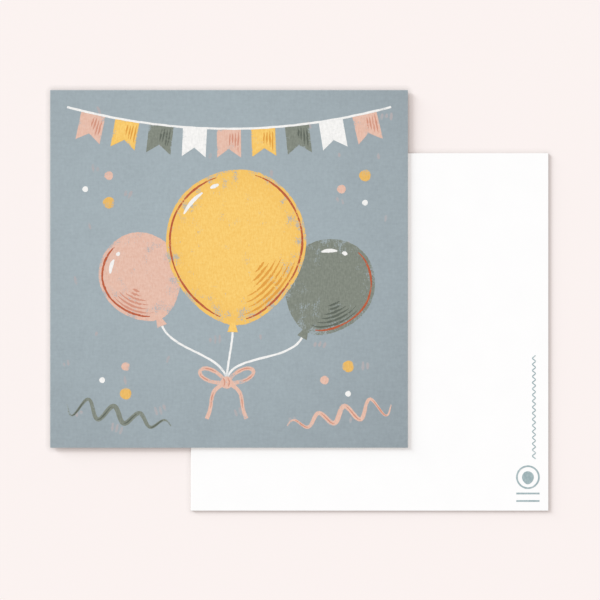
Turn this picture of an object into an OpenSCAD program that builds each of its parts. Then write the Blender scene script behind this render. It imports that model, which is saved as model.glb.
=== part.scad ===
// Two copies of a flat square picture card, as they lie on a table.
// The upper card is face up and lies across the lower card, which is face down.
// Each card is a trimmed sheet of board, the ink films of its picture, and a small imprint on its back.
// The inks of the picture lie side by side in one level film, each cut out of the ones behind it.
// A card is drawn with its back at z = 0 and its picture seen from above, then put in its place.

/* [Card] */
// Side of the square card
card_w = 148; // [120:1:210]
// Thickness of the board
card_t = 0.45; // [0.25:0.05:1]
// Radius of the trimmed corners
corner_r = 0.2; // [0.2:0.1:4]

/* [Stack] */
// How far the upper card lies to the left of the lower one
shift_x = 58.2; // [10:0.1:90]
// How far the upper card lies behind the lower one
shift_y = 26.1; // [10:0.1:90]
// Air between the two cards
stack_gap = 0.05; // [0.02:0.01:0.3]

/* [Inks] */
// Thickness of an ink film
ink_t = 0.02; // [0.01:0.01:0.05]
// Width of an outline at the middle of its stroke
outline_w = 0.9; // [0.4:0.1:1.6]
// Width of the white cords
cord_w = 0.9; // [0.4:0.1:1.6]
// Width of the ribbon in the bow
ribbon_w = 1.6; // [0.8:0.1:2]
// Width of a shine mark at the middle of its stroke
shine_w = 1.6; // [0.8:0.1:2.4]

/* [Balloons] */
// Half width of the gold balloon
gold_r = 29; // [22:0.5:32]
// Half width of the rose balloon
rose_r = 17; // [12:0.5:20]
// Half width of the sage balloon
sage_r = 18.5; // [12:0.5:21]
// Middle of the gold balloon, from the middle of the card
gold_at = [3, 12]; // [-20:0.5:20]
// Middle of the rose balloon, from the middle of the card
rose_at = [-37, -2]; // [-45:0.5:45]
// Middle of the sage balloon, from the middle of the card
sage_at = [42, -6]; // [-45:0.5:45]
// Where the cords are tied, from the middle of the card
tie_at = [-1, -47]; // [-56:0.5:10]
// Length of a balloon's lower half over its half width
balloon_long = 1.22; // [1:0.02:1.4]
// Distance from a balloon's edge to the outline drawn inside it
outline_inset = 1.6; // [1.2:0.1:3]
// Width of a balloon's knot
knot_w = 4.4; // [2:0.2:6]
// Height of a balloon's knot
knot_h = 2.8; // [1.5:0.1:4]
// Reach of each loop of the bow
bow_reach = 12; // [9:0.5:16]
// Reach of each tail of the bow
tail_reach = 15; // [9:0.5:18]

/* [Bunting] */
// Distance from the card's sides to the ends of the bunting
bunting_side = 7; // [3:0.5:20]
// Distance from the card's top edge to the ends of the bunting
bunting_top = 7; // [4:0.5:12]
// How far the bunting hangs down in the middle
bunting_sag = 9; // [3:0.5:12]
// Width of one flag
flag_w = 10; // [7:0.5:16]
// Height of one flag
flag_h = 12; // [7:0.5:15]
// Depth of the notch in a flag's lower edge
flag_notch = 3.6; // [1:0.1:6]
// Number of flags
flag_n = 9; // [3:1:11]
// Plain cord beyond the outermost flags
cord_end = 6; // [1:0.5:10]

/* [Confetti] */
// Middle of the upper right trio of dots, from the middle of the card
upper_trio_at = [53, 33]; // [20:0.5:60]
// Middle of the lower right trio of dots, from the middle of the card
lower_trio_at = [46, -46]; // [-60:0.5:60]
// Distance from the middle of a trio to its dots
trio_spread = 6.5; // [4.5:0.1:9]
// Radius of the largest dot
dot_r = 2.4; // [1:0.1:3]

/* [Streamers] */
// Distance from the card's sides to the outer ends of the streamers
streamer_side = 7; // [5:0.5:15]
// Distance from the card's bottom edge to the outer ends of the streamers
streamer_up = 18; // [14:0.5:22]
// Distance from side to side that a streamer covers
streamer_len = 43; // [24:1:48]
// How far a streamer comes down from its outer to its inner end
streamer_drop = 9; // [0:0.5:12]
// Number of waves in a streamer
streamer_waves = 4; // [2:1:6]
// Height of a streamer's outermost wave over its middle line
streamer_wave_h = 4.4; // [1:0.2:5]
// Width of a streamer at the middle of its stroke
streamer_w = 2; // [0.8:0.1:2.4]

/* [Imprint] */
// Distance from the card's side to the middle of the zigzag rule on the back
rule_inset = 6; // [4:0.5:12]
// Distance from the card's bottom edge to the lower end of the zigzag rule
rule_up = 21.4; // [20:0.2:40]
// Length of the zigzag rule
rule_len = 43; // [20:1:60]
// Width of the zigzag
zigzag_w = 1.2; // [0.6:0.1:2]
// Length of one zig and zag
zigzag_pitch = 2.4; // [1.6:0.1:4]
// Width of the imprint's lines
line_w = 0.4; // [0.2:0.05:0.6]
// Distance from the card's side to the middle of the round mark
mark_inset = 8.5; // [7:0.5:16]
// Distance from the card's bottom edge to the middle of the round mark
mark_up = 13.9; // [13:0.1:14.5]
// Outer radius of the round mark
mark_r = 4.9; // [3:0.1:5.5]
// Length of the dashes below the round mark
dash_len = 9.6; // [4:0.2:12]
// Distance from one dash to the next
dash_pitch = 3.1; // [1:0.1:3.4]

/* [Hidden] */
half_w = card_w / 2;
lower_z = ink_t + card_t;
upper_z = lower_z + ink_t + stack_gap + ink_t;

paper_white = [0.98, 0.98, 0.97];
ground_blue = [0.63, 0.69, 0.72];
gold_yellow = [0.97, 0.79, 0.42];
rose_pink = [0.92, 0.73, 0.66];
sage_green = [0.50, 0.53, 0.47];
rust_red = [0.74, 0.37, 0.25];
imprint_blue = [0.62, 0.70, 0.73];

// Share of its full width that a pressed stroke keeps at its ends
stroke_tip = 0.25;
// A balloon leans towards the tie by this share of the slant from its middle to the tie
balloon_lean = 0.6;
balloon_pinch = 0.2;
hand_wobble = 0.008;
neck_w = 0.4 * knot_w;
tie_r = 1.6 * ribbon_w;
mark_line_w = 1.5 * line_w;
round_fn = 48;
balloon_fn = 44;
small_balloon_fn = 24;

// Angles round a balloon count clockwise from its top
right_arc = [14, 166];
left_arc = [194, 340];
shine_arcs = [[0, 28], [37, 46]];
shine_from = 294;
sage_shine_from = 316;
// Share of its height that a streamer's wave has lost at the inner end
streamer_calm = 0.6;
// Angle from straight up to a loop of the bow, and the angle that the loop opens to
bow_loop_angle = 66;
bow_loop_opening = 62;
// A tail of the bow: its end, and the two points that bend it, in shares of its reach
tail_end = [0.55, -1];
tail_bend = [0.6, -0.25];
tail_turn = [0.3, -0.5];
// Distance from the round mark to its first dash, in shares of the distance between dashes
first_dash = 0.6;

// Brush strokes

function backwards(list) = [for (i = [len(list) - 1:-1:0]) list[i]];

function turned(v, angle) = [v[0] * cos(angle) - v[1] * sin(angle), v[0] * sin(angle) + v[1] * cos(angle)];

function heading(path, i) =
    let (ahead = path[min(i + 1, len(path) - 1)] - path[max(i - 1, 0)])
    ahead / norm(ahead);

function stroke_side(path, widths, way) = [
    for (i = [0:len(path) - 1]) path[i] + way * widths[i] / 2 * turned(heading(path, i), 90)
];

// Width of a stroke at point i of n: full in the middle and drawn out at both ends
function pressure(i, n, w) = w * (stroke_tip + (1 - stroke_tip) * sin(180 * i / n));

function bezier(a, b, c, d, t) =
    pow(1 - t, 3) * a + 3 * pow(1 - t, 2) * t * b + 3 * (1 - t) * t * t * c + pow(t, 3) * d;

function bezier_path(a, b, c, d, steps) = [for (i = [0:steps]) bezier(a, b, c, d, i / steps)];

module stroke(path, widths) {
    polygon(concat(stroke_side(path, widths, 1), backwards(stroke_side(path, widths, -1))));
}

module even_stroke(path, w) {
    stroke(path, [for (point = path) w]);
}

module pressed_stroke(path, w) {
    stroke(path, [for (i = [0:len(path) - 1]) pressure(i, len(path) - 1, w)]);
}

// Card

module card_outline() {
    inner_w = card_w - 2 * corner_r;
    square([card_w, inner_w], center = true);
    square([inner_w, card_w], center = true);
    for (x = [-1, 1], y = [-1, 1])
        translate([x, y] * inner_w / 2)
            circle(r = corner_r, $fn = round_fn);
}

// The print is trimmed with the sheet
module on_front() {
    translate([0, 0, card_t])
        linear_extrude(ink_t)
            intersection() {
                card_outline();
                children();
            }
}

module on_back() {
    translate([0, 0, -ink_t])
        linear_extrude(ink_t)
            children();
}

// Balloons

// Point of a balloon's outline: round above, longer and drawn in below, with the wobble of a hand
function balloon_point(r, angle) =
    let (low = cos(angle) < 0)
    let (hand = 1 + hand_wobble * (sin(3 * angle + 40) + 0.6 * sin(5 * angle)))
    let (draw_in = low ? 1 - balloon_pinch * pow(cos(angle), 2) : 1)
    hand * r * [sin(angle) * draw_in, cos(angle) * (low ? balloon_long : 1)];

function balloon_edge(r, steps) = [for (i = [0:steps - 1]) balloon_point(r, 360 * i / steps)];

function balloon_tilt(at) = balloon_lean * atan2(tie_at[0] - at[0], at[1] - tie_at[1]);

function knot_foot(r) = [0, -r * balloon_long - knot_h];

module at_balloon(at) {
    translate(at)
        rotate(balloon_tilt(at))
            children();
}

module balloon_fill(r, at) {
    neck_y = -r * balloon_long + knot_h / 2;
    at_balloon(at) {
        polygon(balloon_edge(r, balloon_fn));
        polygon([
            [-neck_w / 2, neck_y],
            [neck_w / 2, neck_y],
            knot_foot(r) + [knot_w / 2, 0],
            knot_foot(r) - [knot_w / 2, 0]
        ]);
    }
}

// Stroke along a balloon's edge
module balloon_arc(r, at, arc, w, steps) {
    path = [for (i = [0:steps]) balloon_point(r, arc[0] + (arc[1] - arc[0]) * i / steps)];
    at_balloon(at)
        pressed_stroke(path, w);
}

module balloon_outline(r, at, arc) {
    balloon_arc(r - outline_inset, at, arc, outline_w, 16);
}

module balloon_shine(r, at, from) {
    shine_r = r - 2 * outline_inset - shine_w;
    for (arc = shine_arcs)
        balloon_arc(shine_r, at, arc + [from, from], shine_w, 5);
}

module balloon_cord(r, at) {
    start = at + turned(knot_foot(r), balloon_tilt(at));
    down = turned([0, -1], balloon_tilt(at));
    reach = norm(start - tie_at) / 3;
    even_stroke(bezier_path(start, start + reach * down, tie_at + [0, reach], tie_at, 12), cord_w);
}

// Bow

module bow_loop(direction) {
    first = asin(1.4 * ribbon_w / bow_reach) / 180;
    steps = 14;
    path = [
        for (i = [0:steps])
            let (t = first + (1 - 2 * first) * i / steps)
            tie_at + turned([bow_reach * sin(180 * t), 0], direction + bow_loop_opening * (t - 0.5))
    ];
    even_stroke(path, ribbon_w);
}

module bow_tail(side) {
    points = [
        for (share = [[0, 0], tail_bend, tail_turn, tail_end])
            tie_at + tail_reach * [side * share[0], share[1]]
    ];
    even_stroke(bezier_path(points[0], points[1], points[2], points[3], 8), ribbon_w);
}

module bow() {
    for (side = [-1, 1]) {
        bow_loop(90 - side * bow_loop_angle);
        bow_tail(side);
    }
    translate(tie_at)
        circle(r = tie_r, $fn = round_fn);
}

// Bunting

bunting_half = half_w - bunting_side;
first_flag_x = cord_end + flag_w / 2 - bunting_half;
flag_pitch = -2 * first_flag_x / (flag_n - 1);

function bunting_point(x) = [x, half_w - bunting_top - bunting_sag * (1 - pow(x / bunting_half, 2))];

module bunting_cord() {
    steps = 20;
    even_stroke([for (i = [0:steps]) bunting_point(bunting_half * (2 * i / steps - 1))], cord_w);
}

// Every fourth flag has the same ink
module flags(first) {
    for (i = [first:4:flag_n - 1]) {
        middle = first_flag_x + i * flag_pitch;
        left = bunting_point(middle - flag_w / 2);
        right = bunting_point(middle + flag_w / 2);
        down = turned(right - left, -90) / norm(right - left);
        notch = (left + right) / 2 + (flag_h - flag_notch) * down;
        polygon([left, right, right + flag_h * down, notch, left + flag_h * down]);
    }
}

// Confetti

// One dot of each trio, the later ones smaller
module dots(number) {
    for (side = [-1, 1], at = [upper_trio_at, lower_trio_at])
        translate([side * at[0], at[1]] + turned([trio_spread, 0], 120 * number + 60 * side))
            circle(r = dot_r * (1 - number / 4), $fn = round_fn);
}

// Streamers

// Paper streamer that waves in from the card's side, side to side mirrored; its waves die down inwards
module streamer(side) {
    start = [half_w - streamer_side, streamer_up - half_w];
    along = [-streamer_len, -streamer_drop];
    across = turned(along, 90) / norm(along);
    steps = 12 * streamer_waves;
    path = [
        for (i = [0:steps])
            let (t = i / steps)
            let (wave = streamer_wave_h * (1 - streamer_calm * t) * sin(360 * streamer_waves * t))
            let (point = start + t * along + wave * across)
            [side * point[0], point[1]]
    ];
    pressed_stroke(path, streamer_w);
}

// Shapes of each ink

module gold_shapes() {
    balloon_fill(gold_r, gold_at);
    flags(1);
    dots(0);
}

module rose_shapes() {
    balloon_fill(rose_r, rose_at);
    bow();
    flags(0);
    dots(1);
    streamer(1);
}

module sage_shapes() {
    balloon_fill(sage_r, sage_at);
    flags(2);
    streamer(-1);
}

// The gold balloon hangs in front of the other two
module rust_shapes() {
    balloon_outline(gold_r, gold_at, left_arc);
    balloon_outline(gold_r, gold_at, right_arc);
    difference() {
        union() {
            balloon_outline(rose_r, rose_at, left_arc);
            balloon_outline(sage_r, sage_at, right_arc);
        }
        balloon_fill(gold_r, gold_at);
    }
}

// The cords end under the bow
module white_shapes() {
    difference() {
        union() {
            balloon_cord(gold_r, gold_at);
            balloon_cord(rose_r, rose_at);
            balloon_cord(sage_r, sage_at);
        }
        bow();
    }
    balloon_shine(gold_r, gold_at, shine_from);
    balloon_shine(rose_r, rose_at, shine_from);
    balloon_shine(sage_r, sage_at, sage_shine_from);
    bunting_cord();
    flags(3);
    dots(2);
}

module line_shapes() {
    rust_shapes();
    white_shapes();
}

// Pieces of one card

module card_sheet() {
    color(paper_white)
        linear_extrude(card_t)
            card_outline();
}

module ground_ink() {
    color(ground_blue)
        on_front()
            difference() {
                card_outline();
                gold_shapes();
                rose_shapes();
                sage_shapes();
                line_shapes();
            }
}

module gold_ink() {
    color(gold_yellow)
        on_front()
            difference() {
                gold_shapes();
                line_shapes();
            }
}

module rose_ink() {
    color(rose_pink)
        on_front()
            difference() {
                rose_shapes();
                gold_shapes();
                line_shapes();
            }
}

module sage_ink() {
    color(sage_green)
        on_front()
            difference() {
                sage_shapes();
                gold_shapes();
                rose_shapes();
                line_shapes();
            }
}

module rust_ink() {
    color(rust_red)
        on_front()
            rust_shapes();
}

module white_ink() {
    color(paper_white)
        on_front()
            difference() {
                white_shapes();
                rust_shapes();
            }
}

module zigzag_rule() {
    turns = 2 * floor(rule_len / zigzag_pitch);
    even_stroke([
        for (i = [0:turns])
            [rule_inset - half_w + zigzag_w * (i % 2 - 0.5), rule_up - half_w + rule_len * i / turns]
    ], line_w);
}

// Ring with a small balloon in it, over two dashes
module round_mark() {
    translate([mark_inset - half_w, mark_up - half_w]) {
        difference() {
            circle(r = mark_r, $fn = round_fn);
            circle(r = mark_r - mark_line_w, $fn = round_fn);
        }
        polygon(balloon_edge(mark_r / 2, small_balloon_fn));
        for (row = [0, 1])
            translate([0, -mark_r - (first_dash + row) * dash_pitch])
                square([dash_len, mark_line_w], center = true);
    }
}

module imprint() {
    color(imprint_blue)
        on_back() {
            zigzag_rule();
            round_mark();
        }
}

// Place of each card

module upper() {
    translate([-shift_x / 2, shift_y / 2, upper_z])
        children();
}

module lower() {
    translate([shift_x / 2, -shift_y / 2, lower_z])
        rotate([0, 180, 0])
            children();
}

upper() card_sheet();  // upper_card_sheet
upper() ground_ink();  // upper_card_ground_ink
upper() gold_ink();  // upper_card_gold_ink
upper() rose_ink();  // upper_card_rose_ink
upper() sage_ink();  // upper_card_sage_ink
upper() rust_ink();  // upper_card_rust_ink
upper() white_ink();  // upper_card_white_ink
upper() imprint();  // upper_card_imprint
lower() card_sheet();  // lower_card_sheet
lower() ground_ink();  // lower_card_ground_ink
lower() gold_ink();  // lower_card_gold_ink
lower() rose_ink();  // lower_card_rose_ink
lower() sage_ink();  // lower_card_sage_ink
lower() rust_ink();  // lower_card_rust_ink
lower() white_ink();  // lower_card_white_ink
lower() imprint();  // lower_card_imprint
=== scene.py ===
import itertools
import math
import random

import bmesh
import bpy
from mathutils import Matrix, Vector


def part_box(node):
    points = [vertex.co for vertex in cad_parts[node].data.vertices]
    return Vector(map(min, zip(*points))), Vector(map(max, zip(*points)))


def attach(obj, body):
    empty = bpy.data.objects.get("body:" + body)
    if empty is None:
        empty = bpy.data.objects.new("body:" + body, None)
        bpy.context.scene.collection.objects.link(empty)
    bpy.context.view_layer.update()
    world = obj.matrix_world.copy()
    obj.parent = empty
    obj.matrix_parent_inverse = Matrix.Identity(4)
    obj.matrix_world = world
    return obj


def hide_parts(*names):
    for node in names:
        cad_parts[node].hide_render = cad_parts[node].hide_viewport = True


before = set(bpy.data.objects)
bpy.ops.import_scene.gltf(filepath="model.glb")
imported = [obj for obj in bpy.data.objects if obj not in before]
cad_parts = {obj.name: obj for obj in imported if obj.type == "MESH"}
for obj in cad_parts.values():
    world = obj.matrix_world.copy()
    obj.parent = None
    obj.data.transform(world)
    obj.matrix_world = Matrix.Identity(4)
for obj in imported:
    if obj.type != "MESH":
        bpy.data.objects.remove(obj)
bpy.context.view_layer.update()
print("frame loaded,", len(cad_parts), "nodes")

mm = 0.001  # cards are drawn in millimetres and scaled as they are placed
hand = random.Random(11)  # all uneven lines come from this one hand

colours = dict(  # as they look in plain light, 0 to 255
    board=(254, 254, 254),
    boardShade=(253, 253, 253),
    cutEdge=(230, 227, 222),
    cutEdgeDeep=(211, 207, 200),
    ground=(164, 177, 183),
    groundShade=(146, 157, 163),
    fleck=(178, 173, 175),
    gold=(252, 211, 121),
    goldDeep=(244, 196, 102),
    goldDot=(239, 192, 109),
    goldDotDeep=(229, 180, 96),
    ochre=(226, 161, 71),
    rose=(234, 197, 180),
    roseDeep=(225, 182, 163),
    roseMark=(211, 150, 129),
    sage=(139, 145, 134),
    sageDeep=(124, 130, 120),
    sageMark=(98, 105, 96),
    rust=(197, 105, 71),
    rustDeep=(176, 87, 59),
    white=(251, 250, 248),
    whiteShade=(236, 236, 234),
    imprint=(150, 171, 175),
    imprintPale=(176, 193, 196),
    floor=(251, 243, 241),
    # the dark tone that the floor's painted contact shade goes towards
    contactShade=(40, 34, 32),
)


def linear(name):
    # undoes the curve of a screen
    steps = [c / 255 for c in colours[name]]
    return tuple(c / 12.92 if c <= 0.04045 else ((c + 0.055) / 1.055) ** 2.4 for c in steps) + (1,)


# node helpers


def addNode(tree, kind, values=None, **settings):
    node = tree.nodes.new(kind)
    for setting, value in settings.items():
        setattr(node, setting, value)
    for socket, value in (values or {}).items():
        if isinstance(value, bpy.types.NodeSocket):
            tree.links.new(value, node.inputs[socket])
        else:
            node.inputs[socket].default_value = value
    return node


def sums(tree, operation, a, b, clamp=False):
    return addNode(tree, "ShaderNodeMath", {0: a, 1: b}, operation=operation, use_clamp=clamp).outputs[0]


def weighed(tree, *parts):
    # adds up values, each times its share
    products = [sums(tree, "MULTIPLY", value, share) for value, share in parts]
    total = products[0]
    for product in products[1:]:
        total = sums(tree, "ADD", total, product)
    return total


def mixColour(tree, factor, a, b, clamp=True):
    mix = addNode(tree, "ShaderNodeMix", {0: factor, 6: a, 7: b}, data_type="RGBA", clamp_factor=clamp)
    return mix.outputs[2]


def spread(tree, value, span, onto=(0.0, 1.0)):
    # carries one span of values over to another
    low, high = span
    toLow, toHigh = onto
    sockets = {"Value": value, "From Min": low, "From Max": high, "To Min": toLow, "To Max": toHigh}
    return addNode(tree, "ShaderNodeMapRange", sockets).outputs[0]


def drawnOn(tree, attribute, output):
    # what a mesh says of itself at each point
    return addNode(tree, "ShaderNodeAttribute", attribute_name=attribute).outputs[output]


def cloud(tree, place, size, detail=2.0, stretch=(1, 1, 1), turn=0.0):
    # noise whose patches are about size millimetres across
    mapping = addNode(tree, "ShaderNodeMapping", {"Vector": place})
    mapping.inputs["Rotation"].default_value = (0, 0, math.radians(turn))
    mapping.inputs["Scale"].default_value = [s / (size * mm) for s in stretch]
    sockets = {"Vector": mapping.outputs[0], "Scale": 1.0, "Detail": detail, "Roughness": 0.6}
    return addNode(tree, "ShaderNodeTexNoise", sockets).outputs[0]


noiseSpan = dict(wide=(0.3, 0.7), middle=(0.35, 0.65), close=(0.39, 0.61))  # where most of a noise lies
evenShare = 0.5  # of each of two noises mixed in equal parts
fibreStretch = 0.22


def felt(tree, place, size):
    # fibres of the board, which lie along and across it
    along = cloud(tree, place, size, stretch=(1, fibreStretch, 1))
    across = cloud(tree, place, size, stretch=(fibreStretch, 1, 1))
    return weighed(tree, (along, evenShare), (across, evenShare))


# materials


def startMaterial(name, look):
    material = bpy.data.materials.new(name)
    material.use_nodes = True
    tree = material.node_tree
    shader = tree.nodes["Principled BSDF"]
    shader.inputs["Specular IOR Level"].default_value = look["gloss"]
    place = addNode(tree, "ShaderNodeTexCoord").outputs["Object"]
    return material, tree, shader, place


def finishMaterial(tree, shader, colour, rough, height, depth):
    tree.links.new(colour, shader.inputs["Base Color"])
    tree.links.new(rough, shader.inputs["Roughness"])
    bump = addNode(tree, "ShaderNodeBump", {"Height": height, "Distance": depth * mm, "Strength": 1.0})
    tree.links.new(bump.outputs[0], shader.inputs["Normal"])


def boardMaterial(name, look):
    material, tree, shader, place = startMaterial(name, look)
    fibre = felt(tree, place, look["fibre"])
    slow = cloud(tree, place, look["slow"], detail=1.0)
    tone = mixColour(tree, spread(tree, slow, noiseSpan["wide"]), linear("boardShade"), linear("board"))
    rough = spread(tree, fibre, noiseSpan["wide"], look["rough"])
    finishMaterial(tree, shader, tone, rough, fibre, look["depth"])
    return material


def cutEdgeMaterial(name, look):
    # layers of the board where the blade went through it
    material, tree, shader, place = startMaterial(name, look)
    ply = cloud(tree, place, look["ply"], stretch=(look["along"], look["along"], 1))
    layer = spread(tree, ply, noiseSpan["middle"])
    tone = mixColour(tree, layer, linear("cutEdgeDeep"), linear("cutEdge"))
    rough = spread(tree, ply, noiseSpan["wide"], look["rough"])
    finishMaterial(tree, shader, tone, rough, ply, look["depth"])
    return material


def groundMaterial(name, look):
    # dusty blue print with a felt-like mottle, and painted shade: a little darker towards the corners and
    # away from the light
    material, tree, shader, place = startMaterial(name, look)
    fibre = felt(tree, place, look["fibre"])
    mottle = cloud(tree, place, look["mottle"], detail=3.0)
    slow = cloud(tree, place, look["slow"])
    onCard = drawnOn(tree, "onCard", "Vector")
    axes = addNode(tree, "ShaderNodeSeparateXYZ", {0: onCard}).outputs
    squared = addNode(tree, "ShaderNodeVectorMath", {0: onCard, 1: onCard}, operation="DOT_PRODUCT")
    outward = squared.outputs["Value"]
    # painted shade: the print's colour darkens towards the corners and the lower right, away from the
    # light
    paintedShadeDrift = weighed(
        tree, (outward, look["corners"]), (axes["X"], look["rightward"]), (axes["Y"], look["upward"]),
    )
    grain = weighed(tree, (fibre, look["fibreShare"]), (mottle, look["mottleShare"]))
    uneven = spread(tree, grain, noiseSpan["middle"], (-look["uneven"], look["uneven"]))
    patchy = spread(tree, slow, noiseSpan["wide"], (-look["patchy"], look["patchy"]))
    share = sums(tree, "ADD", sums(tree, "ADD", paintedShadeDrift, uneven), patchy)
    tone = mixColour(tree, share, linear("ground"), linear("groundShade"), clamp=False)
    rough = spread(tree, grain, noiseSpan["wide"], look["rough"])
    finishMaterial(tree, shader, tone, rough, grain, look["depth"])
    return material


def paintMaterial(name, tone, deep, look):
    # brushed paint: a mottled tone that can deepen towards its rim,
    # with misses towards the rim where the colour under it shows
    material, tree, shader, place = startMaterial(name, look)
    broad = cloud(tree, place, look["broad"])
    mottle = cloud(tree, place, look["mottle"], detail=3.0)
    speck = cloud(tree, place, look["speck"], detail=3.0)
    drawnOut = (1, look["bristleStretch"], 1)
    bristle = cloud(tree, place, look["bristle"], stretch=drawnOut, turn=look["brushing"])
    rim = drawnOn(tree, "rim", "Fac")
    under = drawnOn(tree, "under", "Color")
    blend = weighed(tree, (mottle, evenShare), (bristle, evenShare))
    blend = sums(tree, "ADD", blend, spread(tree, rim, (0.0, 1.0), (-look["settled"], 0.0)))
    body = mixColour(tree, spread(tree, blend, noiseSpan["close"]), linear(deep), linear(tone))
    loose = weighed(
        tree, (speck, look["speckShare"]), (bristle, look["bristleShare"]), (broad, look["broadShare"]),
        (rim, -look["hold"]),
    )
    dry = spread(tree, loose, (look["reach"], look["reach"] + look["soft"]), (0.0, look["missed"]))
    colour = mixColour(tree, dry, body, under)
    rough = spread(tree, mottle, noiseSpan["wide"], look["rough"])
    hollow = sums(tree, "MULTIPLY", dry, look["hollow"])
    relief = sums(tree, "SUBTRACT", felt(tree, place, look["fibre"]), hollow)
    finishMaterial(tree, shader, colour, rough, relief, look["depth"])
    return material


boardLook = dict(gloss=0.12, fibre=0.45, slow=14, rough=(0.82, 0.92), depth=0.002)
edgeLook = dict(gloss=0.08, ply=0.12, along=0.04, rough=(0.9, 0.98), depth=0.01)
groundLook = dict(
    gloss=0.12, fibre=0.7, fibreShare=0.55, mottle=1.3, mottleShare=0.45, slow=16,
    # painted shade of the ground print: how much it darkens towards the corners, the right and the bottom
    corners=0.3, rightward=0.15, upward=-0.13,  # which way it darkens
    uneven=0.25, patchy=0.08, rough=(0.84, 0.95), depth=0.004,
)
paintLook = dict(
    gloss=0.12, fibre=0.5, rough=(0.8, 0.94), depth=0.004,
    broad=5, mottle=1.1, speck=0.55, bristle=0.35,  # sizes of the patches, in millimetres
    bristleStretch=0.14, brushing=35,
    speckShare=0.35, bristleShare=0.2, broadShare=0.45,  # what makes the misses
    hold=0.095, reach=0.505, soft=0.07, missed=0.8, hollow=0.4,  # how far in, how many, and how they look
    settled=0,  # deeper tone at the rim
)
goldLook = dict(paintLook, hold=0.11, reach=0.49, soft=0.06, settled=0.13)
lineLook = dict(paintLook, broad=3, hold=0.08, reach=0.515, missed=0.65, brushing=-20)
crayonLook = dict(paintLook, broad=2.5, speck=0.45, hold=0.08, reach=0.5, brushing=60)
fleckLook = dict(crayonLook, hold=0.1, reach=0.42, soft=0.12)

finishes = dict(
    board=boardMaterial("cardBoard", boardLook),
    cutEdge=cutEdgeMaterial("cardCutEdge", edgeLook),
    ground=groundMaterial("groundPrint", groundLook),
    fleck=paintMaterial("groundFleck", "fleck", "fleck", fleckLook),
    gold=paintMaterial("goldPaint", "gold", "goldDeep", goldLook),
    goldDot=paintMaterial("goldDotPaint", "goldDot", "goldDotDeep", paintLook),
    ochre=paintMaterial("ochreCrayon", "ochre", "ochre", crayonLook),
    rose=paintMaterial("rosePaint", "rose", "roseDeep", dict(paintLook, brushing=-50)),
    roseMark=paintMaterial("roseCrayon", "roseMark", "roseMark", crayonLook),
    sage=paintMaterial("sagePaint", "sage", "sageDeep", dict(paintLook, brushing=70)),
    sageMark=paintMaterial("sageCrayon", "sageMark", "sageMark", crayonLook),
    rust=paintMaterial("rustLine", "rust", "rustDeep", lineLook),
    white=paintMaterial("whitePaint", "white", "whiteShade", dict(lineLook, missed=0.45)),
    imprint=paintMaterial("imprintInk", "imprint", "imprintPale", dict(lineLook, missed=0.3)),
)
print("materials:", len(finishes))

# heights of the films over the sheet's faces, in millimetres
levels = dict(
    ground=0.003, fleck=0.005, cord=0.006, sage=0.008, rose=0.010, rearCrayon=0.012,
    rearLine=0.0135, gold=0.0155, goldCrayon=0.0175, line=0.0192, foot=0.002, imprint=0.018,
)

# brush helpers: a paint is one bmesh, drawn flat and thickened when it is done

fillSlot, markSlot, dotSlot = 0, 1, 2  # which of its piece's finishes a patch takes
lift = dict(step=0.00025, turns=5)  # patches take turns at a few heights, so neighbours share no plane
ribbon = dict(ends=0.6, sides=0.25)  # how well a stroke covers towards its ends and its sides
hair = 0.01  # millimetres; a point this near an edge is on it
laid = itertools.count()


def startPaint():
    paint = bmesh.new()
    paint.verts.layers.float.new("rim")
    paint.verts.layers.float_color.new("under")
    return paint


def liftOver():
    return lift["step"] * (next(laid) % lift["turns"])


def dab(paint, face, rims, level, under, finish=fillSlot):
    # gives a flat patch its rims and its height; rims are (width, how well it is covered there)
    rim = paint.verts.layers.float["rim"]
    shown = paint.verts.layers.float_color["under"]
    level = level + liftOver()
    parts = [face]
    for vert in face.verts:
        vert[rim] = 0
    for width, cover in rims:
        parts += bmesh.ops.inset_region(
            paint, faces=[face], thickness=width, use_even_offset=True, use_boundary=True,
        )["faces"]
        for vert in face.verts:
            vert[rim] = cover
    touched = {vert for part in parts for vert in part.verts}
    for part in parts:
        part.material_index = finish
    for vert in touched:
        vert.co.z = level
        vert[shown] = linear(under)
    return touched


def roundPatch(paint, r, segments, shape, rims, level, under, finish=fillSlot):
    # a filled round with its rims, each point of it then moved by shape
    made = bmesh.ops.create_circle(paint, cap_ends=True, radius=r, segments=segments)
    touched = dab(paint, made["verts"][0].link_faces[0], rims, level, under, finish)
    polar = [(math.degrees(math.atan2(v.co.x, v.co.y)) % 360, v.co.xy.length, v) for v in touched]
    for angle, out, vert in sorted(polar, key=lambda point: point[:2]):  # the hand goes round in order
        vert.co.xy = shape(angle, out)


def cutout(paint, corners, rims, level, under):
    # a filled shape with straight sides
    face = paint.faces.new([paint.verts.new((p.x, p.y, 0)) for p in corners])
    face.normal_update()  # the inset needs to know which way it looks
    dab(paint, face, rims, level, under)


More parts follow.
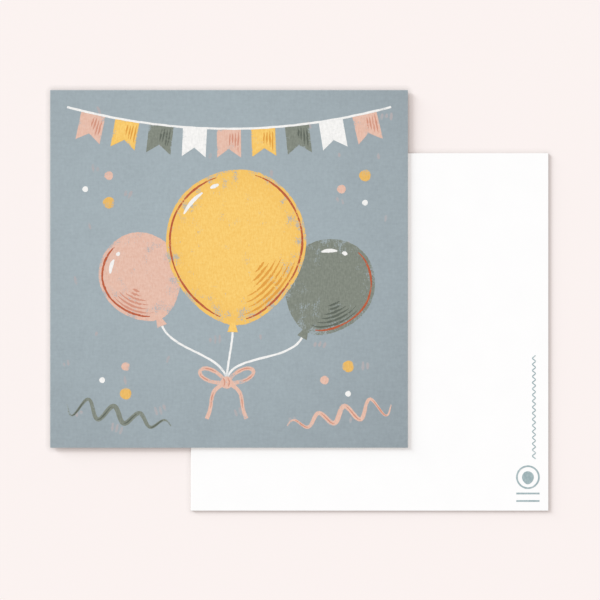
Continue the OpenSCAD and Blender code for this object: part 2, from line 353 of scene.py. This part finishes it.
def stroke(paint, path, widths, level, under, finish=fillSlot):
    # a ribbon of three points across, extruded along the path
    rim = paint.verts.layers.float["rim"]
    shown = paint.verts.layers.float_color["under"]
    level = level + liftOver()
    row = [paint.verts.new((0, 0, 0)) for side in range(3)]
    edges = [paint.edges.new(row[:2]), paint.edges.new(row[1:])]
    last = len(path) - 1
    for i, point in enumerate(path):
        if i > 0:
            made = bmesh.ops.extrude_edge_only(paint, edges=edges)["geom"]
            fresh = {part for part in made if isinstance(part, bmesh.types.BMVert)}
            edges = [part for part in made if isinstance(part, bmesh.types.BMEdge)]
            edges = [edge for edge in edges if all(vert in fresh for vert in edge.verts)]
            row = [next(e.other_vert(v) for e in v.link_edges if e.other_vert(v) in fresh) for v in row]
        ahead = (path[min(i + 1, last)] - path[max(i - 1, 0)]).normalized()
        side = Vector((-ahead.y, ahead.x)) * widths[i] / 2
        press = math.sin(math.pi * (i + ribbon["ends"]) / (last + 2 * ribbon["ends"]))
        for vert, across in zip(row, (1, 0, -1)):
            vert.co.xy = point + side * across
            vert.co.z = level
            vert[rim] = press * (ribbon["sides"] if across else 1)
            vert[shown] = linear(under)
        if i > 0:
            for face in {f for edge in edges for f in edge.link_faces}:
                face.material_index = finish


def pressed(count, width, uneven, ends=0.25):
    # widths of a stroke that is pressed in its middle and drawn out at both ends
    full = [ends + (1 - ends) * math.sin(math.pi * i / (count - 1)) for i in range(count)]
    return [width * f * (1 + hand.uniform(-uneven, uneven)) for f in full]


def even(count, width, uneven=0.1):
    return [width * (1 + hand.uniform(-uneven, uneven)) for i in range(count)]


def shaky(path, amount):
    return [p + Vector((hand.uniform(-amount, amount), hand.uniform(-amount, amount))) for p in path]


def turned(v, degrees):
    return Matrix.Rotation(math.radians(degrees), 2) @ Vector(v)


def bezier(a, b, c, d, steps):
    ts = [i / steps for i in range(steps + 1)]
    return [(1 - t) ** 3 * a + 3 * (1 - t) ** 2 * t * b + 3 * (1 - t) * t * t * c + t**3 * d for t in ts]


def thicken(paint, foot):
    # turns the flat patches into closed films that reach to foot
    made = bmesh.ops.extrude_face_region(paint, geom=paint.faces[:])["geom"]
    for part in made:
        if isinstance(part, bmesh.types.BMVert):
            part.co.z = foot
    bmesh.ops.recalc_face_normals(paint, faces=paint.faces[:])


# the two cards: where each lies, read from its sheet in the frame

sheetLow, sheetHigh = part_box("upper_card_sheet")
sheet = dict(
    side=(sheetHigh.x - sheetLow.x) / mm,
    thick=(sheetHigh.z - sheetLow.z) / mm,
    cornerR=0.2,
    cornerSteps=4,
    edgeR=0.06,  # the cut edge is pressed a little round
    edgeSteps=2,
    levelFrom=0.9,  # a face is level whose normal points this much up or down
)
half = sheet["side"] / 2


def cardPlace(body, faceDown):
    low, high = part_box(body + "_sheet")
    middle = (low + high) / 2
    back = high.z if faceDown else low.z
    turn = Matrix.Rotation(math.pi, 4, "Y") if faceDown else Matrix.Identity(4)
    return Matrix.Translation((middle.x, middle.y, back)) @ turn @ Matrix.Scale(mm, 4)


cards = dict(upper_card=cardPlace("upper_card", False), lower_card=cardPlace("lower_card", True))


def placePiece(shape, title, ink, finishNames, up):
    # one copy of a finished shape on each card; up is the height of the shape's zero over the card's back
    for body, place in cards.items():
        copy = shape.copy()
        copy.transform(place @ Matrix.Translation((0, 0, up)))
        mesh = bpy.data.meshes.new(body + title)
        copy.to_mesh(mesh)
        copy.free()
        for finishName in finishNames:
            mesh.materials.append(finishes[finishName])
        piece = bpy.data.objects.new(body + title, mesh)
        bpy.context.scene.collection.objects.link(piece)
        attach(piece, body)
        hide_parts(body + "_" + ink)
    shape.free()


def trimmedSquare(shape, side, thick):
    made = bmesh.ops.create_cube(shape, size=1)["verts"]
    bmesh.ops.scale(shape, verts=made, vec=(side, side, thick))
    bmesh.ops.translate(shape, verts=made, vec=(0, 0, thick / 2))
    edges = {edge for vert in made for edge in vert.link_edges}
    corners = [e for e in edges if abs(e.verts[0].co.z - e.verts[1].co.z) > thick / 2]
    bmesh.ops.bevel(
        shape, geom=corners, offset=sheet["cornerR"], affect="EDGES",
        segments=sheet["cornerSteps"], profile=0.5, material=-1,
    )


def liesLevel(face):
    return abs(face.normal.z) > sheet["levelFrom"]


def trimmedSheet():
    shape = bmesh.new()
    trimmedSquare(shape, sheet["side"], sheet["thick"])
    shape.normal_update()
    rounds = list({edge for face in shape.faces if liesLevel(face) for edge in face.edges})
    bmesh.ops.bevel(
        shape, geom=rounds, offset=sheet["edgeR"], affect="EDGES",
        segments=sheet["edgeSteps"], profile=0.5, material=-1,
    )
    shape.normal_update()
    for face in shape.faces:
        face.material_index = 0 if liesLevel(face) else 1  # board or cut edge
    return shape


placePiece(trimmedSheet(), "Sheet", "sheet", ["board", "cutEdge"], 0)
print("sheets placed")

# ground print with its faint flecks, which stand in groups

fleck = dict(
    groups=40, room=16, clearEdge=6.5, marks=(1, 3), apart=1.9, slant=22, stray=0.9, tilt=9,
    length=(1.6, 3.8), along=(-0.5, -0.17, 0.17, 0.5), shake=0.08, width=1.3, uneven=0.2, ends=0.5,
)


def groundPrint():
    paint = startPaint()
    spots = []
    reach = half - fleck["clearEdge"]
    while len(spots) < fleck["groups"]:
        spot = Vector((hand.uniform(-reach, reach), hand.uniform(-reach, reach)))
        if all((spot - other).length > fleck["room"] for other in spots):
            spots.append(spot)
    for spot in spots:
        lean = hand.uniform(-fleck["slant"], fleck["slant"])
        marks = hand.randint(*fleck["marks"])
        for mark in range(marks):
            out = (mark - (marks - 1) / 2) * fleck["apart"]
            start = spot + turned((out, hand.uniform(-fleck["stray"], fleck["stray"])), lean)
            length = hand.uniform(*fleck["length"])
            tilt = lean + hand.uniform(-fleck["tilt"], fleck["tilt"])
            path = shaky([start + turned((0, length * t), tilt) for t in fleck["along"]], fleck["shake"])
            widths = pressed(len(path), fleck["width"], fleck["uneven"], fleck["ends"])
            stroke(paint, path, widths, levels["fleck"], "ground", markSlot)
    thicken(paint, levels["foot"])
    trimmedSquare(paint, sheet["side"] - sheet["edgeR"], levels["ground"])
    onCard = paint.verts.layers.float_vector.new("onCard")
    for vert in paint.verts:
        vert[onCard] = (vert.co.x / half, vert.co.y / half, 0)
    return paint


placePiece(groundPrint(), "GroundPrint", "ground_ink", ["ground", "fleck"], sheet["thick"])
print("ground printed")

# balloons

balloon = dict(
    gold=dict(r=29, at=Vector((3, 12))),
    rose=dict(r=17, at=Vector((-37, -2))),
    sage=dict(r=18.5, at=Vector((42, -6))),
    tie=Vector((-1, -47)),
    longer=1.22,  # below its middle, against the radius
    lean=0.6,  # share of the turn towards the tie
    pinch=0.2,
    wobble=0.008,
    waves=[(3, 40, 1), (5, 0, 0.6)],  # of the wobble: how many, turned by how much, and their share
    rough=0.12,
    points=168,
    rims=[(1.2, 0.2), (10, 1.0)],
    knotW=4.4,
    knotH=2.8,
    knotRims=[(0.4, 1.0)],
    neckW=0.4,  # of the knot's width
    neckUp=1.5,  # of the knot's height
)


def eggPoint(r, angle):
    # round above, longer and drawn in below, with the wobble of a hand; angles run clockwise from the top
    a = math.radians(angle)
    low = math.cos(a) < 0
    waves = [share * math.sin(count * a + math.radians(turn)) for count, turn, share in balloon["waves"]]
    wobble = 1 + balloon["wobble"] * sum(waves)
    drawIn = 1 - balloon["pinch"] * math.cos(a) ** 2 if low else 1
    stretch = balloon["longer"] if low else 1
    return wobble * r * Vector((math.sin(a) * drawIn, math.cos(a) * stretch))


def onBalloon(which, point):
    at = balloon[which]["at"]
    tie = balloon["tie"]
    tilt = balloon["lean"] * math.degrees(math.atan2(tie.x - at.x, at.y - tie.y))
    return at + turned(point, tilt)


def knotFoot(which):
    return Vector((0, -balloon[which]["r"] * balloon["longer"] - balloon["knotH"]))


knotStep = 0.0012  # millimetres that a knot lies over its balloon or its ribbon


def balloonFill(paint, which, level):
    r = balloon[which]["r"]

    def edge(angle, out):
        uneven = hand.gauss(0, balloon["rough"] / 2) if out > r - hair else 0
        return onBalloon(which, eggPoint(out + uneven, angle))

    roundPatch(paint, r, balloon["points"], edge, balloon["rims"], level, "ground")
    foot = knotFoot(which)
    neck = foot + Vector((0, balloon["neckUp"] * balloon["knotH"]))
    wide = Vector((balloon["knotW"] / 2, 0))
    slim = wide * balloon["neckW"]
    knot = [onBalloon(which, p) for p in (foot - wide, foot + wide, neck + slim, neck - slim)]
    cutout(paint, knot, balloon["knotRims"], level + knotStep, "ground")


def arcPath(which, r, first, last, steps, amount=0.05):
    angles = [first + (last - first) * i / steps for i in range(steps + 1)]
    return shaky([onBalloon(which, eggPoint(r, angle)) for angle in angles], amount)


# shading drawn along a balloon's lower side in crayon, arc inside arc
shading = dict(
    gold=dict(first=96, last=172, inward=3.4, step=1.9, arcs=7, width=1.1),
    rose=dict(first=186, last=262, inward=2.9, step=1.5, arcs=6, width=0.9),
    sage=dict(first=98, last=174, inward=2.9, step=1.5, arcs=6, width=0.9),
    startsLater=0.05,  # with each arc, of the first one's span
    endsSooner=0.06,
    stray=(-0.04, 0.08),
    steps=16,
    shake=0.1,
    uneven=0.25,
    ends=0.15,
)


def balloonShade(paint, which, level, under):
    look = shading[which]
    span = look["last"] - look["first"]
    for arc in range(look["arcs"]):
        r = balloon[which]["r"] - look["inward"] - look["step"] * arc
        first = look["first"] + span * (shading["startsLater"] * arc + hand.uniform(*shading["stray"]))
        last = look["last"] - span * (shading["endsSooner"] * arc + hand.uniform(*shading["stray"]))
        path = arcPath(which, r, first, last, shading["steps"], shading["shake"])
        widths = pressed(len(path), look["width"], shading["uneven"], shading["ends"])
        stroke(paint, path, widths, level, under, markSlot)


# bunting

bunting = dict(
    side=7, top=7, sag=9, flags=9, inks=4, flagW=10, flagH=12, notch=3.6,
    rims=[(0.5, 0.5), (1.0, 1.0)], shake=0.12, cordEnd=6, cordW=0.9, cordSteps=60, cordShake=0.06,
)
buntingHalf = half - bunting["side"]
firstFlagX = bunting["cordEnd"] + bunting["flagW"] / 2 - buntingHalf
flagPitch = -2 * firstFlagX / (bunting["flags"] - 1)


def buntingPoint(x):
    return Vector((x, half - bunting["top"] - bunting["sag"] * (1 - (x / buntingHalf) ** 2)))


# crayon lines on a flag, from its upper right corner, each shorter than the last
flagMark = dict(
    lines=4, inset=1.1, apart=1.15, drop=1.6, stray=0.4, clear=3.6, shorter=1.1, drawn=(0.8, 1.0),
    lean=(0.1, 0.5), steps=7, shake=0.08, width=0.7, uneven=0.25, ends=0.2,
)


def markFlag(paint, corner, across, down, level, under):
    steps = flagMark["steps"]
    for line in range(flagMark["lines"]):
        inset = flagMark["inset"] + flagMark["apart"] * line
        drop = flagMark["drop"] + hand.uniform(-flagMark["stray"], flagMark["stray"])
        start = corner - inset * across + drop * down
        length = bunting["flagH"] - flagMark["clear"] - flagMark["shorter"] * line
        fall = length * hand.uniform(*flagMark["drawn"])
        end = start + fall * down - hand.uniform(*flagMark["lean"]) * across
        path = shaky([start + (end - start) * t / steps for t in range(steps + 1)], flagMark["shake"])
        widths = pressed(len(path), flagMark["width"], flagMark["uneven"], flagMark["ends"])
        stroke(paint, path, widths, level, under, markSlot)


def flags(paint, first, level, markLevel=None, under=None):
    # the flags take turns at the inks; they get crayon lines where a level is given for these
    for i in range(first, bunting["flags"], bunting["inks"]):
        middle = firstFlagX + i * flagPitch
        left = buntingPoint(middle - bunting["flagW"] / 2)
        right = buntingPoint(middle + bunting["flagW"] / 2)
        across = (right - left).normalized()
        down = turned(across, -90)
        tall = bunting["flagH"]
        notch = (left + right) / 2 + (tall - bunting["notch"]) * down
        corners = shaky([left, left + tall * down, notch, right + tall * down, right], bunting["shake"])
        cutout(paint, corners, bunting["rims"], level, "ground")
        if markLevel is not None:
            markFlag(paint, right, across, down, markLevel, under)


# confetti, in trios at both sides of the card

confetti = dict(
    trios=[Vector((53, 33)), Vector((46, -46))], spread=6.5, apart=120, turn=60, dotR=2.4, smaller=0.25,
    points=32, bumps=3, bumpH=0.03, rough=0.025, rim=0.35, coverAbove=0.45, coverBelow=0.9,
)


def dots(paint, number, level, finish=fillSlot):
    # one dot of each trio, the later ones smaller
    r = confetti["dotR"] * (1 - confetti["smaller"] * number)
    for side in (-1, 1):
        direction = confetti["apart"] * number + confetti["turn"] * side
        for trio in confetti["trios"]:
            at = Vector((side * trio.x, trio.y)) + turned((confetti["spread"], 0), direction)

            def edge(angle, out):
                bump = confetti["bumpH"] * math.sin(math.radians(confetti["bumps"] * angle))
                uneven = 1 + bump + hand.uniform(-confetti["rough"], confetti["rough"])
                return at + turned((0, out * uneven), -angle)

            cover = confetti["coverAbove"] if trio.y > 0 else confetti["coverBelow"]
            rims = [(r * confetti["rim"], cover)]
            roundPatch(paint, r, confetti["points"], edge, rims, level, "ground", finish)


# streamers: waves that come in from the card's side and die down

streamer = dict(
    side=7, up=18, across=43, drop=9, waves=4, waveH=4.4, calm=0.6, steps=18,
    width=2, shake=0.04, uneven=0.05, markW=0.6, markShake=0.06, markUneven=0.2,
)


def drawStreamer(paint, side, level, markLevel, under):
    start = Vector((half - streamer["side"], streamer["up"] - half))
    along = Vector((-streamer["across"], -streamer["drop"]))
    rise = turned(along, 90).normalized()
    count = streamer["steps"] * streamer["waves"]
    path = []
    for i in range(count + 1):
        t = i / count
        height = streamer["waveH"] * (1 - streamer["calm"] * t)
        point = start + t * along + height * math.sin(2 * math.pi * streamer["waves"] * t) * rise
        path.append(Vector((side * point.x, point.y)))
    drawn = shaky(path, streamer["shake"])
    stroke(paint, drawn, pressed(len(drawn), streamer["width"], streamer["uneven"]), level, "ground")
    quarter = streamer["steps"] // 4
    for wave in range(streamer["waves"]):  # a crayon line on each stroke that goes down
        first = wave * streamer["steps"] + quarter
        mark = shaky(path[first:first + 2 * quarter + 1], streamer["markShake"])
        widths = pressed(len(mark), streamer["markW"], streamer["markUneven"])
        stroke(paint, mark, widths, markLevel, under, markSlot)


# gold paint

gold = startPaint()
balloonFill(gold, "gold", levels["gold"])
flags(gold, 1, levels["gold"], levels["goldCrayon"], "gold")
dots(gold, 0, levels["gold"], dotSlot)
balloonShade(gold, "gold", levels["goldCrayon"], "gold")
thicken(gold, levels["foot"])
placePiece(gold, "GoldPaint", "gold_ink", ["gold", "ochre", "goldDot"], sheet["thick"])
print("gold painted")

# rose paint, with the bow

bow = dict(
    ribbonW=1.6, shake=0.05,
    reach=12, loopAngle=66, opening=62, loopSteps=24,
    tail=15, tailEnd=(0.55, -1), tailBend=(0.6, -0.25), tailBack=(-0.25, 0.5), tailSteps=14,
    knotPoints=40, knotRough=0.02, knotRims=[(0.7, 1.0)],
    loopFrom=1.4, knotR=1.6,  # these two in widths of the ribbon
)
# crayon lines on parts of the loops and tails, and two creases on the knot
bowMark = dict(
    loops=[(3, 10), (14, 22)], tail=(5, 12), width=0.55, shake=0.08, uneven=0.2,
    creases=(-0.45, 0.3), creaseUp=(-0.7, -0.3, 0.1, 0.5, 0.75),
    creaseBend=0.16, creaseTurn=3, creaseW=0.6,
)


def bowLoop(direction):
    first = math.asin(bow["loopFrom"] * bow["ribbonW"] / bow["reach"]) / math.pi
    path = []
    for i in range(bow["loopSteps"] + 1):
        t = first + (1 - 2 * first) * i / bow["loopSteps"]
        out = bow["reach"] * math.sin(math.pi * t)
        path.append(balloon["tie"] + turned((out, 0), direction + bow["opening"] * (t - 0.5)))
    return path


def bowTail(side):
    def along(share):
        return bow["tail"] * Vector((side * share[0], share[1]))

    tie = balloon["tie"]
    end = tie + along(bow["tailEnd"])
    return bezier(tie, tie + along(bow["tailBend"]), end + along(bow["tailBack"]), end, bow["tailSteps"])


def markBow(paint, path, width):
    widths = pressed(len(path), width, bowMark["uneven"])
    stroke(paint, path, widths, levels["rearCrayon"], "rose", markSlot)


def paintBow(paint):
    tie = balloon["tie"]
    for side in (-1, 1):
        loop = shaky(bowLoop(90 - side * bow["loopAngle"]), bow["shake"])
        tail = shaky(bowTail(side), bow["shake"])
        stroke(paint, loop, even(len(loop), bow["ribbonW"]), levels["rose"], "ground")
        stroke(paint, tail, even(len(tail), bow["ribbonW"]), levels["rose"], "ground")
        marked = [loop[first:last] for first, last in bowMark["loops"]]
        marked.append(tail[slice(*bowMark["tail"])])
        for path in marked:
            markBow(paint, shaky(path, bowMark["shake"]), bowMark["width"])
    knotR = bow["knotR"] * bow["ribbonW"]

    def edge(angle, out):
        return tie + turned((0, out * (1 + hand.uniform(-bow["knotRough"], bow["knotRough"]))), -angle)

    level = levels["rose"] + knotStep
    roundPatch(paint, knotR, bow["knotPoints"], edge, bow["knotRims"], level, "ground")
    for crease in bowMark["creases"]:
        path = []
        for up in bowMark["creaseUp"]:
            bend = bowMark["creaseBend"] * math.cos(bowMark["creaseTurn"] * up)
            path.append(tie + knotR * Vector((crease + bend, up)))
        markBow(paint, path, bowMark["creaseW"])


rose = startPaint()
balloonFill(rose, "rose", levels["rose"])
flags(rose, 0, levels["rose"], levels["rearCrayon"], "rose")
dots(rose, 1, levels["rose"])
drawStreamer(rose, 1, levels["rose"], levels["rearCrayon"], "rose")
balloonShade(rose, "rose", levels["rearCrayon"], "rose")
paintBow(rose)
thicken(rose, levels["foot"])
placePiece(rose, "RosePaint", "rose_ink", ["rose", "roseMark"], sheet["thick"])
print("rose painted")

# sage paint

sage = startPaint()
balloonFill(sage, "sage", levels["sage"])
flags(sage, 2, levels["sage"], levels["rearCrayon"], "sage")
drawStreamer(sage, -1, levels["sage"], levels["rearCrayon"], "sage")
balloonShade(sage, "sage", levels["rearCrayon"], "sage")
thicken(sage, levels["foot"])
placePiece(sage, "SagePaint", "sage_ink", ["sage", "sageMark"], sheet["thick"])
print("sage painted")

# rust outlines, drawn a little inside the edges

outline = dict(
    inset=1.6, width=0.9, uneven=0.15, ends=0.4, right=(14, 166), left=(194, 340),
    splits=(0.0, 0.36, 0.7, 1.0), lap=0.045, steps=20, stray=0.22,
)


def drawOutline(paint, which, arc, level):
    # three strokes that lap a little, each set slightly off the last
    span = arc[1] - arc[0]
    for first, last in zip(outline["splits"][:-1], outline["splits"][1:]):
        r = balloon[which]["r"] - outline["inset"] + hand.uniform(-outline["stray"], outline["stray"])
        start = arc[0] + span * max(0.0, first - outline["lap"])
        end = arc[0] + span * min(1.0, last + outline["lap"])
        path = arcPath(which, r, start, end, outline["steps"])
        widths = pressed(len(path), outline["width"], outline["uneven"], outline["ends"])
        stroke(paint, path, widths, level, which)


rust = startPaint()
drawOutline(rust, "gold", outline["left"], levels["line"])
drawOutline(rust, "gold", outline["right"], levels["line"])
drawOutline(rust, "rose", outline["left"], levels["rearLine"])
drawOutline(rust, "sage", outline["right"], levels["rearLine"])
thicken(rust, levels["foot"])
placePiece(rust, "RustLines", "rust_ink", ["rust"], sheet["thick"])
print("outlines drawn")

# white paint: cords, shine, bunting cord, flags and dots

cord = dict(width=0.9, steps=22, shake=0.05)
shine = dict(
    arcs=[(0, 28), (37, 46)], start=dict(gold=294, rose=294, sage=316),
    width=1.6, steps=9, uneven=0.1, ends=0.4,
)


def drawCord(paint, which):
    start = onBalloon(which, knotFoot(which))
    down = (start - onBalloon(which, (0, 0))).normalized()
    tie = balloon["tie"]
    reach = (start - tie).length / 3  # an even curve, with its handles a third of the way
    path = bezier(start, start + reach * down, tie + Vector((0, reach)), tie, cord["steps"])
    path = shaky(path, cord["shake"])
    stroke(paint, path, even(len(path), cord["width"]), levels["cord"], "ground")


def drawShine(paint, which):
    r = balloon[which]["r"] - 2 * outline["inset"] - shine["width"]
    for first, last in shine["arcs"]:
        start = shine["start"][which]
        path = arcPath(which, r, start + first, start + last, shine["steps"])
        widths = pressed(len(path), shine["width"], shine["uneven"], shine["ends"])
        stroke(paint, path, widths, levels["line"], which)


def drawBuntingCord(paint):
    steps = bunting["cordSteps"]
    path = [buntingPoint(buntingHalf * (2 * i / steps - 1)) for i in range(steps + 1)]
    path = shaky(path, bunting["cordShake"])
    stroke(paint, path, even(len(path), bunting["cordW"]), levels["line"], "ground")


white = startPaint()
for which in ("gold", "rose", "sage"):
    drawCord(white, which)
    drawShine(white, which)
drawBuntingCord(white)
flags(white, 3, levels["gold"])
dots(white, 2, levels["gold"])
thicken(white, levels["foot"])
placePiece(white, "WhitePaint", "white_ink", ["white"], sheet["thick"])
print("white painted")

# imprint on the back: a wavy rule, and a ring with a small balloon over two dashes

imprint = dict(
    lineW=0.48, sunk=0.001,
    ruleInset=6, ruleUp=21.4, ruleLen=43, ruleUneven=0.08, waveW=1.2, wavePitch=2.4, waveSteps=10,
    markInset=8.5, markUp=13.9, markR=4.9, bolder=1.5,  # the mark's lines against the rule's
    ringStep=7.5, ringPoints=26, ringUneven=0.05, fillPoints=40, fillRims=[(0.4, 1.0)],
    dashes=2, dashFrom=0.6, dashPitch=3.1, dashLen=9.6, dashSteps=12, dashUneven=0.06,
)


def drawRule(paint):
    waves = math.floor(imprint["ruleLen"] / imprint["wavePitch"])
    steps = waves * imprint["waveSteps"]
    rule = []
    for i in range(steps + 1):
        sway = -math.cos(2 * math.pi * waves * i / steps) * imprint["waveW"] / 2
        rise = imprint["ruleUp"] - half + imprint["ruleLen"] * i / steps
        rule.append(Vector((imprint["ruleInset"] - half + sway, rise)))
    stroke(paint, rule, even(len(rule), imprint["lineW"], imprint["ruleUneven"]), 0, "board")


def drawMark(paint):
    middle = Vector((imprint["markInset"] - half, imprint["markUp"] - half))
    lineW = imprint["bolder"] * imprint["lineW"]
    for begin in (0, 180):  # the ring is two half rounds that lap a little
        angles = [begin + imprint["ringStep"] * i for i in range(imprint["ringPoints"])]
        ring = [middle + turned((0, imprint["markR"] - lineW / 2), angle) for angle in angles]
        stroke(paint, ring, even(len(ring), lineW, imprint["ringUneven"]), 0, "board")

    def edge(angle, out):
        return middle + eggPoint(out, angle)

    roundPatch(paint, imprint["markR"] / 2, imprint["fillPoints"], edge, imprint["fillRims"], 0, "board")
    steps = imprint["dashSteps"]
    for row in range(imprint["dashes"]):
        y = -imprint["markR"] - (imprint["dashFrom"] + row) * imprint["dashPitch"]
        dash = [middle + Vector((imprint["dashLen"] * (i / steps - 0.5), y)) for i in range(steps + 1)]
        stroke(paint, dash, even(len(dash), lineW, imprint["dashUneven"]), 0, "board")


def drawImprint():
    # the film is drawn from its outer face up, then let down to lie under the back
    paint = startPaint()
    drawRule(paint)
    drawMark(paint)
    thicken(paint, levels["imprint"] + imprint["sunk"])
    bmesh.ops.translate(paint, verts=paint.verts, vec=(0, 0, -levels["imprint"]))
    return paint


placePiece(drawImprint(), "Imprint", "imprint", ["imprint"], 0)
print("imprint drawn")

# floor, light and camera

studio = dict(
    floorZ=-0.00003,
    floorSize=24,
    floorRough=0.95,
    # painted contact shade: the floor's own colour darkens beside a card's edge, where the card's shade
    # falls
    contactShadeReach=2.4,  # the floor darkens beside a card's edge
    contactShadeCurve=0.5,
    contactShadeShare=0.37,
    contactSamples=32,
    skyShare=0.755,
    lowShare=0.28,
    warm=(1.0, 0.96, 0.945),
    cool=(0.893, 0.979, 1.015),
    lowElevation=11.1,
    lowFrom=(-0.83, 0.55),
    lowAngle=22,
    lens=100,
    sensor=36,
    across=0.2483,
    aim=(0.00025, 0.00019, 0.0008),
)


def floorMaterial():
    material = bpy.data.materials.new("paleFloor")
    material.use_nodes = True
    tree = material.node_tree
    shader = tree.nodes["Principled BSDF"]
    # painted shade: the floor's colour is mixed towards a dark tone where ambient occlusion finds a
    # card's edge near
    near = {"Distance": studio["contactShadeReach"] * mm}
    samples = studio["contactSamples"]
    openness = addNode(tree, "ShaderNodeAmbientOcclusion", near, samples=samples).outputs["AO"]
    closeness = sums(tree, "SUBTRACT", 1.0, openness, clamp=True)
    contactShade = sums(tree, "POWER", closeness, studio["contactShadeCurve"])
    contactShade = sums(tree, "MULTIPLY", contactShade, studio["contactShadeShare"])
    tone = mixColour(tree, contactShade, linear("floor"), linear("contactShade"))
    tree.links.new(tone, shader.inputs["Base Color"])
    shader.inputs["Roughness"].default_value = studio["floorRough"]
    shader.inputs["Specular IOR Level"].default_value = 0.0
    return material


floorShape = bmesh.new()
bmesh.ops.create_grid(floorShape, x_segments=1, y_segments=1, size=studio["floorSize"] / 2)
floorMesh = bpy.data.meshes.new("floor")
floorShape.to_mesh(floorMesh)
floorShape.free()
floorMesh.materials.append(floorMaterial())
floor = bpy.data.objects.new("floor", floorMesh)
floor.location.z = studio["floorZ"]
bpy.context.scene.collection.objects.link(floor)


def addSun(name, toLight, share, colour, angle):
    lamp = bpy.data.lights.new(name, "SUN")
    direction = Vector(toLight).normalized()
    lamp.energy = share * math.pi / direction.z
    lamp.color = colour
    lamp.angle = math.radians(angle)
    sun = bpy.data.objects.new(name, lamp)
    sun.rotation_mode = "QUATERNION"
    sun.rotation_quaternion = direction.to_track_quat("Z", "Y")
    bpy.context.scene.collection.objects.link(sun)


rise = math.tan(math.radians(studio["lowElevation"]))
addSun("lowLight", (*studio["lowFrom"], rise), studio["lowShare"], studio["cool"], studio["lowAngle"])

# soft light from all round; what is seen beyond the floor has the floor's tone
world = bpy.data.worlds.new("studio")
world.use_nodes = True
sky = world.node_tree
background = sky.nodes["Background"]
background.inputs["Color"].default_value = (*studio["warm"], 1)
background.inputs["Strength"].default_value = studio["skyShare"]
backdrop = addNode(sky, "ShaderNodeBackground", {"Color": linear("floor"), "Strength": 1.0})
rays = addNode(sky, "ShaderNodeLightPath").outputs
shown = sums(sky, "MAXIMUM", rays["Is Camera Ray"], rays["Is Glossy Ray"])
shown = sums(sky, "MAXIMUM", shown, rays["Is Transmission Ray"])
both = addNode(sky, "ShaderNodeMixShader", {0: shown, 1: background.outputs[0], 2: backdrop.outputs[0]})
sky.links.new(both.outputs[0], sky.nodes["World Output"].inputs["Surface"])
bpy.context.scene.world = world

lens = bpy.data.cameras.new("camera")
lens.lens = studio["lens"]
lens.sensor_width = studio["sensor"]
camera = bpy.data.objects.new("camera", lens)
distance = studio["across"] * studio["lens"] / studio["sensor"]
camera.location = Vector(studio["aim"]) + Vector((0, 0, distance))
bpy.context.scene.collection.objects.link(camera)
bpy.context.scene.camera = camera
bpy.context.scene.view_settings.view_transform = "Standard"
print("light and camera set")
